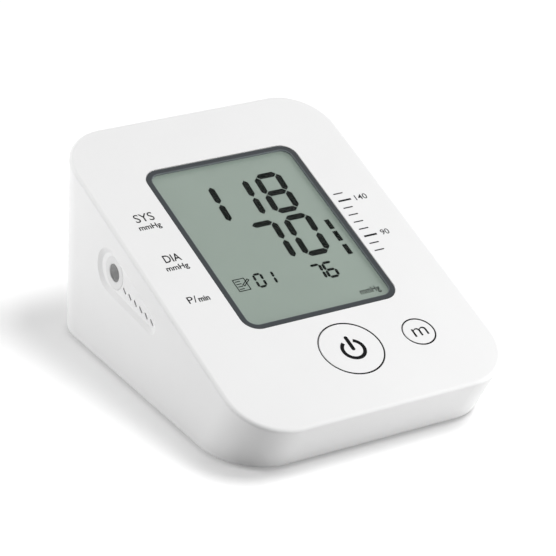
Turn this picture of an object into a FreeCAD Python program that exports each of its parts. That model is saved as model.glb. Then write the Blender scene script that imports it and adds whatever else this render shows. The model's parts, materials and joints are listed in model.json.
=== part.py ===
"""Home blood pressure monitor: a wedge-shaped desk unit, one solid or set of solids per physical piece.

Frame: millimetres, +X to the user's right, +Y to the back, +Z up. The origin lies on the table under the
middle of the unit. Pieces that lie along the sloping face are drawn flat (u across, v up the slope, n out of
the face) and then tipped into place with FACE.
"""
import math
import os

import FreeCAD
import Part

V = FreeCAD.Vector
X, Y, Z = V(1, 0, 0), V(0, 1, 0), V(0, 0, 1)

# Housing, outside
body_width = 100.0
face_length = 138.0
face_tilt = 20.0
front_height = 18.0
front_undercut = 9.1
back_undercut = 1.7
front_corner_radius = 18.0
rear_corner_radius = 17.3
face_edge_round = 1.2
base_edge_round = 0.7
wall = 2.2

# Clearances shared by the pieces that fit together
seat_gap = 0.05
slip_gap = 0.15
running_gap = 0.08
panel_gap = 0.3

# Display
display_width = 57.2
display_height = 73.7
display_corner = 5.5
bezel_step = 0.15
bezel_rim = 2.05
bezel_lip = 0.6
bezel_wall = 0.9
bezel_edge_round = 0.2
bezel_flange = 1.8
bezel_flange_thickness = 1.2
lens_thickness = 0.8
lcd_thickness = 2.2
reflector_thickness = 0.5
lcd_frame_wall = 2.0
lcd_frame_floor = 1.2
lcd_frame_foot = 3.35
lcd_ear_width = 6.0
lcd_ear_thickness = 1.6
lcd_ear_rise = 32.0
zebra_width = 2.0
zebra_margin = 2.0
zebra_edge = 3.0

# Keys and their switches
key_front = 25.2
key_to_display = 15.75
power_ring_radius = 10.75
memory_ring_radius = 5.55
memory_offset = 25.6
key_gap = 0.4
key_travel = 0.6
key_top = 1.6
key_skirt = 1.4
key_flange = 1.25
key_flange_thickness = 1.2
key_stem_radius = 2.2
key_edge_round = 0.3
collar_wall = 1.1
collar_depth = 2.4
switch_size = 6.0
switch_height = 3.4
plunger_radius = 1.7
plunger_rise = 0.8
plunger_length = 2.8

# Circuit board
board_edge = 2.6
board_top = 14.0
under_board_room = 2.4
board_thickness = 1.6
board_corner = 2.0
board_post_radius = 3.0
board_post_gap = 0.4
board_post_upper = 6.0
board_post_inset = 3.0
board_screw_radius = 1.0
board_screw_length = 6.0
board_screw_head_radius = 2.2
board_screw_head = 1.4
chip_size = 14.0
chip_height = 1.8
chip_v = -14.0
capacitor_count = 3
capacitor_start = (-26.0, -36.0)
capacitor_pitch = 7.0
capacitor_radius = 2.5
capacitor_height = 5.0
quartz_span = (14.0, 24.0, -10.0, -6.0)
quartz_height = 3.0
header_span = (12.0, 30.0, -38.0, -32.0)
header_height = 5.0

# Base cover, feet and case screws
base_thickness = 2.6
base_rim_height = 3.0
base_rim_wall = 1.5
foot_proud = 1.0
foot_radius = 5.5
foot_sink = 1.3
foot_chamfer = 0.4
front_foot_side = 17.0
front_foot_inset = 20.3
rear_foot_side = 26.0
rear_foot_inset = 11.8
front_screw_side = 9.4
front_screw_inset = 31.8
rear_screw_side = 14.0
rear_screw_inset = 10.9
case_boss_radius = 3.4
case_post_radius = 4.2
case_post_height = 4.0
case_screw_radius = 1.4
case_screw_length = 11.0
case_screw_head_radius = 2.8
case_screw_head = 2.0
screw_head_web = 2.6
screw_head_round = 0.33
screw_cross_span = 0.6
screw_cross_width = 0.33
screw_cross_depth = 0.45

# Battery compartment
cell_radius = 7.1
cell_length = 48.8
cell_nub_radius = 2.7
cell_nub = 1.5
cell_pitch = 14.5
cell_count = 4
cell_side_room = 0.5
cell_top_room = 0.5
contact_thickness = 0.4
contact_width = 9.0
leaf_reach = 3.2
leaf_width = 6.0
well_wall = 1.6
rib_thickness = 1.0
rib_depth = 3.0

# Battery door
door_thickness = 1.8
door_lap = 1.5
door_pad_height = 0.4
door_pad_inset = 0.6
pivot_radius = 0.6
pivot_length = 2.0
tongue_width = 16.0
tongue_length = 9.0
tongue_slot = 0.9
grip_ridges = 3
grip_start = 2.5
grip_pitch = 2.0
grip_width = 0.8
grip_half_length = 5.4
grip_height = 0.4
scoop_radius = 9.0
scoop_depth = 1.3

# Cuff air socket on the left wall and the sound slots beside it
jack_y = 21.8
jack_z = 35.0
jack_bore_radius = 3.0
jack_bore_depth = 12.0
jack_nose_radius = 5.1
jack_nose_sink = 0.6
jack_flange_radius = 7.4
jack_flange = 1.8
jack_end = 1.6
jack_outlet_inset = 3.0
washer_thickness = 0.8
jack_pad = 0.5
jack_pad_margin = 0.4
cradle_wall = 1.2
recess_depth = 0.8
recess_slope = 1.8
recess_head_shift = 2.0
recess_head_radius = 7.6
recess_tail_radius = 3.8
slot_count = 6
slot_pitch = 3.52
slot_width = 0.9
slot_length = 2.4
slot_slant = 42.0
slot_line_tilt = 10.0
slot_first = (15.0, 31.7)

# Air circuit
barb_radius = 1.5
air_passage_radius = 0.8
hose_wall = 0.7
tee_size = 6.4
tee_gap = 4.2
hose_bend_radius = 9.0
sensor_size = 9.0
sensor_height = 5.5
sensor_port = 2.6

# Air pump
pump_head_radius = 12.5
pump_head_length = 20.0
motor_radius = 12.0
motor_length = 30.0
motor_skin = 1.0
pump_boss_gap = 2.6
pump_nozzle = 5.0
shaft_radius = 1.0
armature_radius = 8.5
armature_length = 20.0
crank_radius = 7.0
crank_thickness = 4.0
crank_pin_offset = 3.5
crank_pin_length = 2.0
crank_gap = 1.5
crank_room_radius = 10.0
crank_room_length = 9.0
sleeve_thickness = 1.0
sleeve_width = 6.0
sleeve_inset = 4.0
saddle_thickness = 2.4
saddle_reach = 10.0
saddle_drop = 6.0
hold_down_front = 2.0

# Release valve
valve_size = 11.0
valve_height = 16.5
valve_bore_radius = 2.0
valve_plunger_length = 9.0
valve_stroke = 0.8
valve_floor = 1.5
valve_tray_wall = 1.0
valve_tray_height = 3.0

# Sounder
buzzer_radius = 6.4
buzzer_height = 4.0
buzzer_ring_wall = 1.1
buzzer_port_radius = 1.2

# Power inlet on the back wall
inlet_x = 8.0
inlet_width = 9.0
inlet_height = 10.0
inlet_length = 12.5
inlet_foot_inset = 3.0
inlet_bore_radius = 3.1
inlet_bore_depth = 9.0
inlet_pin_radius = 1.0
inlet_hole_radius = 3.6

# Places worked out from the sizes above
TILT = math.radians(face_tilt)
depth = face_length * math.cos(TILT)
rise = face_length * math.sin(TILT)
face_z = front_height + rise / 2
base_z = foot_proud
base_top = base_z + base_thickness
half_width = body_width / 2
FACE = FreeCAD.Placement(V(0, 0, face_z), FreeCAD.Rotation(X, face_tilt))
REACH = 2 * face_length
CLOSE = 1e-5

FACE_FRONT = (-depth / 2, front_height)
FACE_BACK = (depth / 2, front_height + rise)
BASE_FRONT = (-depth / 2 + front_undercut, base_z)
BASE_BACK = (depth / 2 - back_undercut, base_z)

key_v = -face_length / 2 + key_front
display_rise = key_v + key_to_display + display_height / 2
bezel_back = -wall - seat_gap - bezel_flange_thickness
lens_front = -bezel_step - bezel_lip
lens_back = lens_front - seat_gap - lens_thickness
lcd_front = lens_back - slip_gap
lcd_back = lcd_front - lcd_thickness
reflector_back = lcd_back - reflector_thickness
lcd_floor_back = reflector_back - lcd_frame_floor
board_front = lcd_floor_back - lcd_frame_foot
board_back = board_front - board_thickness
view_half_u = display_width / 2 - bezel_rim
view_half_v = display_height / 2 - bezel_rim
lcd_half_u = display_width / 2 - bezel_wall - slip_gap
lcd_half_v = display_height / 2 - bezel_wall - slip_gap
lcd_corner = display_corner - bezel_wall - slip_gap
lcd_ear_top = lcd_floor_back + lcd_ear_thickness
zebra_v = display_rise - lcd_half_v + zebra_edge
lcd_frame_half_u = lcd_half_u + slip_gap + lcd_frame_wall
lcd_frame_half_v = lcd_half_v + slip_gap + lcd_frame_wall
switch_top = board_front + switch_height
plunger_top = switch_top + plunger_rise

memory_collar = memory_ring_radius + key_gap / 2 + key_flange + running_gap + collar_wall
board_post_lower = key_v - memory_collar - board_post_gap - board_post_radius
board_bottom = board_post_lower - board_post_inset
board_post_x = display_width / 2 + bezel_flange + board_post_gap + board_post_radius
board_half_width = board_post_x + board_edge
front_foot = (half_width - front_foot_side, -depth / 2 + front_foot_inset)
rear_foot = (half_width - rear_foot_side, depth / 2 - rear_foot_inset)
front_screw = (half_width - front_screw_side, -depth / 2 + front_screw_inset)
rear_screw = (half_width - rear_screw_side, depth / 2 - rear_screw_inset)
case_post_top = base_top + case_post_height

door_top = base_z + door_thickness
ledge_z = door_top + slip_gap
cell_z = base_top + cell_radius
well_half_x = (cell_length + cell_nub + leaf_reach) / 2 + contact_thickness + seat_gap
well_roof = cell_z + cell_radius + cell_top_room
well_top = well_roof + well_wall
under_board = (board_back - under_board_room) / math.cos(TILT)
well_front = (well_top + panel_gap - face_z - under_board) / math.tan(TILT) + well_wall
well_back = well_front + (cell_count - 1) * cell_pitch + 2 * (cell_radius + cell_side_room)
pivot_y = well_front - door_lap + door_thickness / 2
pivot_z = base_z + door_thickness / 2

jack_wall_x = -half_width
recess_floor_x = jack_wall_x + recess_depth
jack_face_x = recess_floor_x + jack_nose_sink
jack_seat_x = jack_wall_x + wall + jack_pad
jack_flange_x = jack_seat_x + washer_thickness
jack_back_x = jack_face_x + jack_bore_depth + jack_end
jack_outlet_x = jack_face_x + jack_bore_depth - jack_outlet_inset
hose_radius = barb_radius + hose_wall
tee_x = jack_outlet_x
tee_y = jack_y + jack_nose_radius + tee_gap + tee_size / 2
air_z = jack_z
slot_step_y = -slot_pitch * math.cos(math.radians(slot_line_tilt))
slot_step_z = -slot_pitch * math.sin(math.radians(slot_line_tilt))
buzzer_y = slot_first[0] + slot_step_y * (slot_count - 1) / 2
buzzer_z = slot_first[1] + slot_step_z * (slot_count - 1) / 2


def back_wall_inside(z):
    """Y of the back wall's inner side at a height."""
    lean = back_undercut / (FACE_BACK[1] - base_z)
    return BASE_BACK[0] + lean * (z - base_z) - wall * math.hypot(1, lean)


sleeve_radius = pump_head_radius + sleeve_thickness
pump_z = well_top + panel_gap + sleeve_radius
pump_y = back_wall_inside(pump_z) - panel_gap - sleeve_radius
motor_end = rear_screw[0] - case_boss_radius - pump_boss_gap
motor_start = motor_end - motor_length
pump_end = motor_start - pump_head_length
inlet_low = base_top + base_rim_height + panel_gap
inlet_z = inlet_low + inlet_height / 2
inlet_back = back_wall_inside(inlet_low) - seat_gap


def box(x0, x1, y0, y1, z0, z1):
    """Plain block between two corners."""
    return Part.makeBox(x1 - x0, y1 - y0, z1 - z0, V(x0, y0, z0))


def rod(radius, start, direction, length):
    """Round bar from a point along a direction."""
    return Part.makeCylinder(radius, length, start, direction)


def ring(outer, inner, start, direction, length):
    """Round tube from a point along a direction."""
    return rod(outer, start, direction, length).cut(rod(inner, start, direction, length))


def fuse(first, *others):
    """One solid from touching or overlapping shapes, with the seams taken out."""
    return first.multiFuse(list(others)).removeSplitter()


def cut(shape, *tools):
    """The shape with every tool taken away."""
    for tool in tools:
        shape = shape.cut(tool)
    return shape


def on_face(shape):
    """Tips a shape drawn flat in u, v, n onto the sloping face."""
    moved = shape.copy()
    moved.Placement = FACE.multiply(moved.Placement)
    return moved


def rounded_wire(half_x, low_y, high_y, radius, place):
    """Rectangle with round corners, drawn flat and then placed."""
    left, right = -half_x, half_x
    k = radius * (1 - math.sqrt(0.5))
    a = [V(left + radius, low_y, 0), V(right - radius, low_y, 0), V(right - k, low_y + k, 0)]
    b = [V(right, low_y + radius, 0), V(right, high_y - radius, 0), V(right - k, high_y - k, 0)]
    c = [V(right - radius, high_y, 0), V(left + radius, high_y, 0), V(left + k, high_y - k, 0)]
    d = [V(left, high_y - radius, 0), V(left, low_y + radius, 0), V(left + k, low_y + k, 0)]
    edges = []
    for side, following in ((a, b), (b, c), (c, d), (d, a)):
        edges.append(Part.LineSegment(side[0], side[1]).toShape())
        edges.append(Part.Arc(side[1], side[2], following[0]).toShape())
    wire = Part.Wire(edges)
    wire.Placement = place
    return wire


def slab(half_u, low_v, high_v, radius, top, bottom):
    """Flat plate with round corners between two heights of n."""
    floor = FreeCAD.Placement(V(0, 0, bottom), FreeCAD.Rotation())
    outline = rounded_wire(half_u, low_v, high_v, radius, floor)
    return Part.Face(outline).extrude(V(0, 0, top - bottom))


def display_slab(half_u, half_v, radius, top, bottom):
    """Plate centred on the display."""
    return slab(half_u, display_rise - half_v, display_rise + half_v, radius, top, bottom)


def shifted(p, q, inset):
    """The side-view line from p to q moved to its left by inset, as a point and a direction."""
    run, climb = q[0] - p[0], q[1] - p[1]
    length = math.hypot(run, climb)
    return (p[0] - climb / length * inset, p[1] + run / length * inset), (run / length, climb / length)


def crossing(first, second):
    """The point where two side-view lines meet."""
    (py, pz), (dy, dz) = first
    (qy, qz), (ey, ez) = second
    s = ((qy - py) * ez - (qz - pz) * ey) / (dy * ez - dz * ey)
    return py + dy * s, pz + dz * s


def wedge(inset, floor_z):
    """The housing's outer form drawn in by inset all round and cut off level at floor_z."""
    front = shifted(FACE_FRONT, BASE_FRONT, inset)
    back = shifted(BASE_BACK, FACE_BACK, inset)
    face = shifted(FACE_BACK, FACE_FRONT, inset)
    level = ((0.0, floor_z), (1.0, 0.0))
    outline = [crossing(front, level), crossing(back, level), crossing(back, face), crossing(front, face)]
    half = half_width - inset
    points = [V(-half, y, z) for y, z in outline]
    block = Part.Face(Part.makePolygon(points + points[:1])).extrude(X * (2 * half))
    for corner, foot in ((front_corner_radius, outline[0][0]), (rear_corner_radius, outline[1][0])):
        block = block.makeFillet(corner - inset, standing_edges(block, foot, floor_z))
    return block


def standing_edges(block, foot_y, floor_z):
    """Edges that rise from the floor at one depth."""
    found = []
    for edge in block.Edges:
        low, high = sorted((vertex.Point for vertex in edge.Vertexes), key=lambda point: point.z)
        stands = abs(low.z - floor_z) < CLOSE and high.z - low.z > CLOSE
        if stands and abs(low.y - foot_y) < CLOSE:
            found.append(edge)
    return found


def edges_at(shape, place):
    """Edges that lie in the XY plane of a placement."""
    back = place.inverse()
    found = []
    for edge in shape.Edges:
        points = [edge.valueAt(edge.FirstParameter), edge.valueAt(edge.LastParameter)]
        points.append(edge.valueAt((edge.FirstParameter + edge.LastParameter) / 2))
        if all(abs(back.multVec(point).z) < CLOSE for point in points):
            found.append(edge)
    return found


def skin():
    """The housing's outer form with its face edge and base edge rounded."""
    form = wedge(0.0, base_z)
    form = form.makeFillet(face_edge_round, edges_at(form, FACE))
    floor = FreeCAD.Placement(V(0, 0, base_z), FreeCAD.Rotation())
    return form.makeFillet(base_edge_round, edges_at(form, floor))


def corners(place):
    """The two mirrored places left and right of the middle."""
    return [(-place[0], place[1]), place]


def case_screw_places():
    return corners(front_screw) + corners(rear_screw)


def board_screw_places():
    return corners((board_post_x, board_post_upper)) + corners((board_post_x, board_post_lower))


def ear_places():
    return corners((board_post_x, display_rise + lcd_ear_rise))


def keys():
    """Centre across the face and ring radius of each key."""
    return {"power": (0.0, power_ring_radius), "memory": (memory_offset, memory_ring_radius)}


def teardrop(head_radius, tail_radius, x):
    """Outline round the air socket and the sound slots, two arcs joined by their common tangents."""
    head = V(x, jack_y + recess_head_shift, jack_z)
    last = slot_count - 1
    tail = V(x, slot_first[0] + slot_step_y * last, slot_first[1] + slot_step_z * last)
    heading = math.atan2(tail.z - head.z, tail.y - head.y)
    spread = math.acos((head_radius - tail_radius) / head.distanceToPoint(tail))

    def on(centre, radius, angle):
        return centre + V(0, radius * math.cos(angle), radius * math.sin(angle))

    upper, lower = heading + spread, heading - spread
    points = [on(head, head_radius, angle) for angle in (upper, heading + math.pi, lower)]
    ends = [on(tail, tail_radius, angle) for angle in (lower, heading, upper)]
    return Part.Wire([
        Part.Arc(*points).toShape(),
        Part.LineSegment(points[2], ends[0]).toShape(),
        Part.Arc(*ends).toShape(),
        Part.LineSegment(ends[2], points[0]).toShape(),
    ])


def recess_tool():
    """Shallow dish with sloping sides that sinks the air socket and the slots into the left wall."""
    grade = recess_slope / recess_depth
    outside = wall
    floor = teardrop(recess_head_radius - recess_slope, recess_tail_radius - recess_slope, recess_floor_x)
    spread = grade * outside
    mouth = teardrop(recess_head_radius + spread, recess_tail_radius + spread, jack_wall_x - outside)
    return Part.makeLoft([floor, mouth], True, True)


def slot_tools():
    """Slanted sound slots through the left wall."""
    slant = math.radians(slot_slant)
    reach = (slot_length - slot_width) / 2
    lean = V(0, reach * math.cos(slant), reach * math.sin(slant))
    across = V(0, -math.sin(slant), math.cos(slant)) * (slot_width / 2)
    start_x = -half_width - wall
    tools = []
    for index in range(slot_count):
        middle = V(start_x, slot_first[0] + slot_step_y * index, slot_first[1] + slot_step_z * index)
        a, b = middle + lean, middle - lean
        tip = lean / reach * (slot_width / 2)
        outline = Part.Wire([
            Part.LineSegment(b + across, a + across).toShape(),
            Part.Arc(a + across, a + tip, a - across).toShape(),
            Part.LineSegment(a - across, b - across).toShape(),
            Part.Arc(b - across, b - tip, b + across).toShape(),
        ])
        tools.append(Part.Face(outline).extrude(V(3 * wall, 0, 0)))
    return tools


def pump_sleeve_places():
    """Start of each rubber sleeve along X, with the radius that it grips."""
    at_motor = motor_end - sleeve_inset - sleeve_width
    return [(pump_end + sleeve_inset, pump_head_radius), (at_motor, motor_radius)]


def upper_housing():
    inside = wedge(wall, base_z - wall)
    shell = skin().cut(inside)
    trim = wedge(wall / 2, base_z - wall)
    inner_face = -wall / 2
    added = []
    for x, y in case_screw_places():
        column = rod(case_boss_radius, V(x, y, case_post_top + seat_gap), Z, REACH)
        added.append(column.common(trim))
    for u, v in board_screw_places():
        added.append(on_face(rod(board_post_radius, V(u, v, board_front), Z, inner_face - board_front)))
    for u, v in ear_places():
        added.append(on_face(rod(board_post_radius, V(u, v, lcd_ear_top), Z, inner_face - lcd_ear_top)))
    for u, radius in keys().values():
        flange = radius + key_gap / 2 + key_flange + running_gap
        start = V(u, key_v, -wall - collar_depth)
        added.append(on_face(ring(flange + collar_wall, flange, start, Z, collar_depth + wall / 2)))
    pad_radius = jack_flange_radius + jack_pad_margin
    pad_start = V(jack_wall_x + wall / 2, jack_y, jack_z)
    added.append(rod(pad_radius, pad_start, X, jack_seat_x - pad_start.x))
    cup = buzzer_radius + slip_gap
    added.append(ring(cup + buzzer_ring_wall, cup, V(jack_seat_x - wall / 2, buzzer_y, buzzer_z), X,
                      buzzer_height + wall / 2))
    grip = sleeve_radius + slip_gap
    clear_u = max(lcd_frame_half_u, display_width / 2 + bezel_flange) + panel_gap
    clear_v = max(lcd_frame_half_v, display_height / 2 + bezel_flange) + panel_gap
    display_room = on_face(display_slab(clear_u, clear_v, lcd_frame_wall, 0, board_front - panel_gap))
    for x, _ in pump_sleeve_places():
        middle = x + sleeve_width / 2
        rib = box(middle - saddle_thickness / 2, middle + saddle_thickness / 2,
                  pump_y + hold_down_front, pump_y + REACH, pump_z, pump_z + REACH)
        added.append(cut(rib.common(trim), rod(grip, V(x, pump_y, pump_z), X, sleeve_width), display_room))
    shell = fuse(shell, *added)

    window = display_slab(display_width / 2 + slip_gap, display_height / 2 + slip_gap,
                          display_corner + slip_gap, wall, -wall - slip_gap)
    shell = cut(shell, on_face(window), recess_tool(), *slot_tools())
    for u, radius in keys().values():
        shell = shell.cut(on_face(rod(radius + key_gap / 2, V(u, key_v, -2 * wall), Z, 3 * wall)))
    for x, y in case_screw_places():
        pilot = rod(case_screw_radius + seat_gap, V(x, y, base_top), Z, case_screw_length + case_post_height)
        shell = shell.cut(pilot)
    for u, v in board_screw_places() + ear_places():
        pilot = rod(board_screw_radius + seat_gap, V(u, v, board_back), Z, -board_back - wall)
        shell = shell.cut(on_face(pilot))
    hole = rod(jack_nose_radius + slip_gap, V(-half_width - wall, jack_y, jack_z), X, 4 * wall)
    socket = rod(inlet_hole_radius, V(inlet_x, 0, inlet_z), Y, REACH)
    return cut(shell, hole, socket)


def display_bezel():
    """Dark ring flush with the face. A pocket behind its lip takes the lens and the panel."""
    half_u, half_v = display_width / 2, display_height / 2
    body = display_slab(half_u, half_v, display_corner, -bezel_step, bezel_back)
    opening = display_slab(view_half_u, view_half_v, display_corner - bezel_rim, 0, bezel_back)
    body = body.cut(opening)
    top = FreeCAD.Placement(V(0, 0, -bezel_step), FreeCAD.Rotation())
    body = body.makeFillet(bezel_edge_round, edges_at(body, top))
    flange = display_slab(half_u + bezel_flange, half_v + bezel_flange, display_corner + bezel_flange,
                          -wall - seat_gap, bezel_back)
    pocket = display_slab(lcd_half_u + slip_gap, lcd_half_v + slip_gap, lcd_corner + slip_gap,
                          lens_front, bezel_back)
    return on_face(fuse(body, flange).cut(pocket))


def display_lens():
    return on_face(display_slab(lcd_half_u, lcd_half_v, lcd_corner, lens_front - seat_gap, lens_back))


def lcd_glass():
    return on_face(display_slab(lcd_half_u, lcd_half_v, lcd_corner, lcd_front, lcd_back))


def lcd_reflector():
    low = zebra_v + zebra_width / 2 + panel_gap
    return on_face(slab(lcd_half_u, low, display_rise + lcd_half_v, lcd_corner, lcd_back, reflector_back))


def lcd_frame():
    pocket_u, pocket_v = lcd_half_u + slip_gap, lcd_half_v + slip_gap
    body = display_slab(lcd_frame_half_u, lcd_frame_half_v, lcd_frame_wall,
                        bezel_back - seat_gap, board_front)
    ears = []
    for u, v in ear_places():
        inner = math.copysign(pocket_u + lcd_frame_wall / 2, u)
        outer = math.copysign(board_post_x + board_screw_head_radius, u)
        ears.append(box(min(inner, outer), max(inner, outer), v - lcd_ear_width / 2, v + lcd_ear_width / 2,
                        lcd_floor_back, lcd_ear_top))
    body = fuse(body, *ears)
    pocket = display_slab(pocket_u, pocket_v, lcd_corner, 0, reflector_back)
    under = display_slab(pocket_u, pocket_v, lcd_corner, lcd_floor_back, board_front)
    body = cut(body, pocket, under)
    strip = zebra_width / 2 + slip_gap
    slot = box(-lcd_half_u + zebra_margin - slip_gap, lcd_half_u - zebra_margin + slip_gap,
               zebra_v - strip, zebra_v + strip, board_front, 0)
    body = body.cut(slot)
    for u, v in ear_places():
        body = body.cut(rod(board_screw_radius + slip_gap, V(u, v, board_back), Z, -board_back))
    return on_face(body)


def zebra_strip():
    return on_face(box(-lcd_half_u + zebra_margin, lcd_half_u - zebra_margin,
                       zebra_v - zebra_width / 2, zebra_v + zebra_width / 2, board_front, lcd_back))


def main_board():
    body = slab(board_half_width, board_bottom, board_top, board_corner, board_front, board_back)
    for u, v in board_screw_places():
        body = body.cut(rod(board_screw_radius + slip_gap, V(u, v, board_back), Z, board_thickness))
    body = on_face(body)
    for x, y in case_screw_places():
        body = body.cut(rod(case_boss_radius + panel_gap, V(x, y, base_z), Z, REACH))
    return body


def screw(radius, length, head_radius, head):
    """Cross-head screw, shank up, its head's seat at the origin. The head's details are shares of size."""
    shank = rod(radius, V(0, 0, 0), Z, length)
    cap = rod(head_radius, V(0, 0, -head), Z, head)
    end = FreeCAD.Placement(V(0, 0, -head), FreeCAD.Rotation())
    cap = cap.makeFillet(head * screw_head_round, edges_at(cap, end))
    arm = head_radius * screw_cross_span
    half = radius * screw_cross_width
    low = head * (screw_cross_depth - 1)
    cross = fuse(box(-arm, arm, -half, half, -head, low), box(-half, half, -arm, arm, -head, low))
    return fuse(shank, cap).cut(cross)


def placed(shape, x, y, z):
    moved = shape.copy()
    moved.translate(V(x, y, z))
    return moved


def board_screws():
    head = board_screw_head_radius, board_screw_head
    one = screw(board_screw_radius, board_screw_length, *head)
    short = screw(board_screw_radius, -lcd_floor_back - wall - panel_gap, *head)
    solids = [on_face(placed(one, u, v, board_back)) for u, v in board_screw_places()]
    solids += [on_face(placed(short, u, v, lcd_floor_back)) for u, v in ear_places()]
    return Part.makeCompound(solids)


def case_screws():
    one = screw(case_screw_radius, case_screw_length, case_screw_head_radius, case_screw_head)
    seat = case_post_top - screw_head_web
    return Part.makeCompound([placed(one, x, y, seat) for x, y in case_screw_places()])


def processor_chip():
    half = chip_size / 2
    return on_face(box(-half, half, chip_v - half, chip_v + half, board_back - chip_height, board_back))


def board_components():
    """Capacitors, a quartz can and the wire header on the underside of the board."""
    solids = []
    for index in range(capacitor_count):
        u, v = capacitor_start[0] + index * capacitor_pitch, capacitor_start[1]
        solids.append(rod(capacitor_radius, V(u, v, board_back - capacitor_height), Z, capacitor_height))
    solids.append(box(*quartz_span, board_back - quartz_height, board_back))
    solids.append(box(*header_span, board_back - header_height, board_back))
    return on_face(Part.makeCompound(solids))


def key(name):
    """Key cap: a flush disc with a skirt, a flange that stops it under the face, and a stem."""
    u, radius = keys()[name]
    cap_radius = radius - key_gap / 2
    flange_radius = radius + key_gap / 2 + key_flange
    flange_top = -wall - seat_gap
    bottom = flange_top - key_flange_thickness
    cap = rod(cap_radius, V(u, key_v, bottom), Z, -bottom)
    cap = cap.makeFillet(key_edge_round, edges_at(cap, FreeCAD.Placement()))
    flange = rod(flange_radius, V(u, key_v, bottom), Z, key_flange_thickness)
    hollow = rod(cap_radius - key_skirt, V(u, key_v, bottom), Z, -bottom - key_top)
    stem = rod(key_stem_radius, V(u, key_v, plunger_top), Z, -plunger_top - key_top / 2)
    return on_face(fuse(fuse(cap, flange).cut(hollow), stem))


def key_switch(name):
    """Tact switch body on the board, bored for its plunger."""
    u, _ = keys()[name]
    half = switch_size / 2
    body = box(u - half, u + half, key_v - half, key_v + half, board_front, switch_top)
    low = plunger_top - plunger_length - key_travel - panel_gap
    return on_face(body.cut(rod(plunger_radius + running_gap, V(u, key_v, low), Z, switch_top - low)))


def key_plunger(name):
    u, _ = keys()[name]
    return on_face(rod(plunger_radius, V(u, key_v, plunger_top - plunger_length), Z, plunger_length))


def well_outline(grow):
    """The battery well's inner rectangle grown all round: x0, x1, y0, y1."""
    return -well_half_x - grow, well_half_x + grow, well_front - grow, well_back + grow


def door_outline(grow):
    """The battery door's rectangle grown all round: x0, x1, y0, y1."""
    return well_outline(door_lap + grow)


def base_cover():
    fit = wall + slip_gap
    form = wedge(fit, base_z)
    floor = form.common(box(-REACH, REACH, -REACH, REACH, base_z, base_top))
    band = box(-REACH, REACH, -REACH, REACH, base_z, base_top + base_rim_height)
    rim = form.common(band).cut(wedge(fit + base_rim_wall, base_z - wall))
    well = box(*well_outline(well_wall), base_z, well_top)
    added = [rim, well]
    for x, y in case_screw_places():
        added.append(rod(case_post_radius, V(x, y, base_z), Z, case_post_top - base_z).common(form))
    for x, _ in pump_sleeve_places():
        middle = x + sleeve_width / 2
        saddle = box(middle - saddle_thickness / 2, middle + saddle_thickness / 2,
                     well_back, pump_y + saddle_reach, base_z, pump_z - saddle_drop)
        added.append(saddle.cut(rod(sleeve_radius + seat_gap, V(x, pump_y, pump_z), X, sleeve_width)))
    added.append(jack_cradle())
    added.append(valve_tray())
    added.append(box(inlet_x - inlet_width / 2, inlet_x + inlet_width / 2,
                     inlet_back - inlet_length, inlet_back - inlet_foot_inset, base_z, inlet_low))
    body = fuse(floor, *added)

    body = body.cut(box(*well_outline(0.0), base_z - wall, well_roof))
    body = body.cut(box(*door_outline(panel_gap), base_z - wall, ledge_z))
    door_half = door_outline(0.0)[1]
    span = door_half + panel_gap + pivot_length + panel_gap
    body = body.cut(rod(pivot_radius + running_gap, V(-span, pivot_y, pivot_z), X, 2 * span))
    scoop = rod(scoop_radius, V(0, door_outline(panel_gap)[3], base_z - scoop_depth), Z, 2 * scoop_depth)
    body = body.cut(scoop)
    ribs = []
    for index in range(1, cell_count):
        y = cell_y(index) - cell_pitch / 2
        ribs.append(box(-well_half_x, well_half_x, y - rib_thickness / 2, y + rib_thickness / 2,
                        well_roof - rib_depth, well_roof + well_wall / 2))
    body = fuse(body, *ribs)
    for x, y in case_screw_places():
        seat = case_post_top - screw_head_web
        below = V(x, y, base_z - wall)
        body = body.cut(rod(case_screw_head_radius + slip_gap, below, Z, seat - below.z))
        body = body.cut(rod(case_screw_radius + slip_gap, V(x, y, base_z), Z, REACH))
    for x, y in corners(front_foot) + corners(rear_foot):
        body = body.cut(rod(foot_radius + slip_gap, V(x, y, base_z - wall), Z, wall + foot_sink))
    return body


def jack_cradle():
    """Upright with a round notch that carries the air socket behind the wall."""
    start = jack_flange_x + jack_flange + panel_gap
    half = jack_nose_radius + cradle_wall
    post = box(start, start + saddle_thickness, jack_y - half, jack_y + half, base_z, jack_z)
    return post.cut(rod(jack_nose_radius + seat_gap, V(start, jack_y, jack_z), X, saddle_thickness))


def valve_tray():
    inner = valve_size / 2 + slip_gap
    outer = inner + valve_tray_wall
    top = base_top + valve_tray_height
    tray = box(tee_x - outer, tee_x + outer, tee_y - outer, tee_y + outer, base_z, top)
    return tray.cut(box(tee_x - inner, tee_x + inner, tee_y - inner, tee_y + inner, base_top, REACH))


def rubber_feet():
    solids = []
    for x, y in corners(front_foot) + corners(rear_foot):
        foot = rod(foot_radius, V(x, y, 0), Z, base_z + foot_sink)
        solids.append(foot.makeChamfer(foot_chamfer, edges_at(foot, FreeCAD.Placement())))
    return Part.makeCompound(solids)


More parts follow.
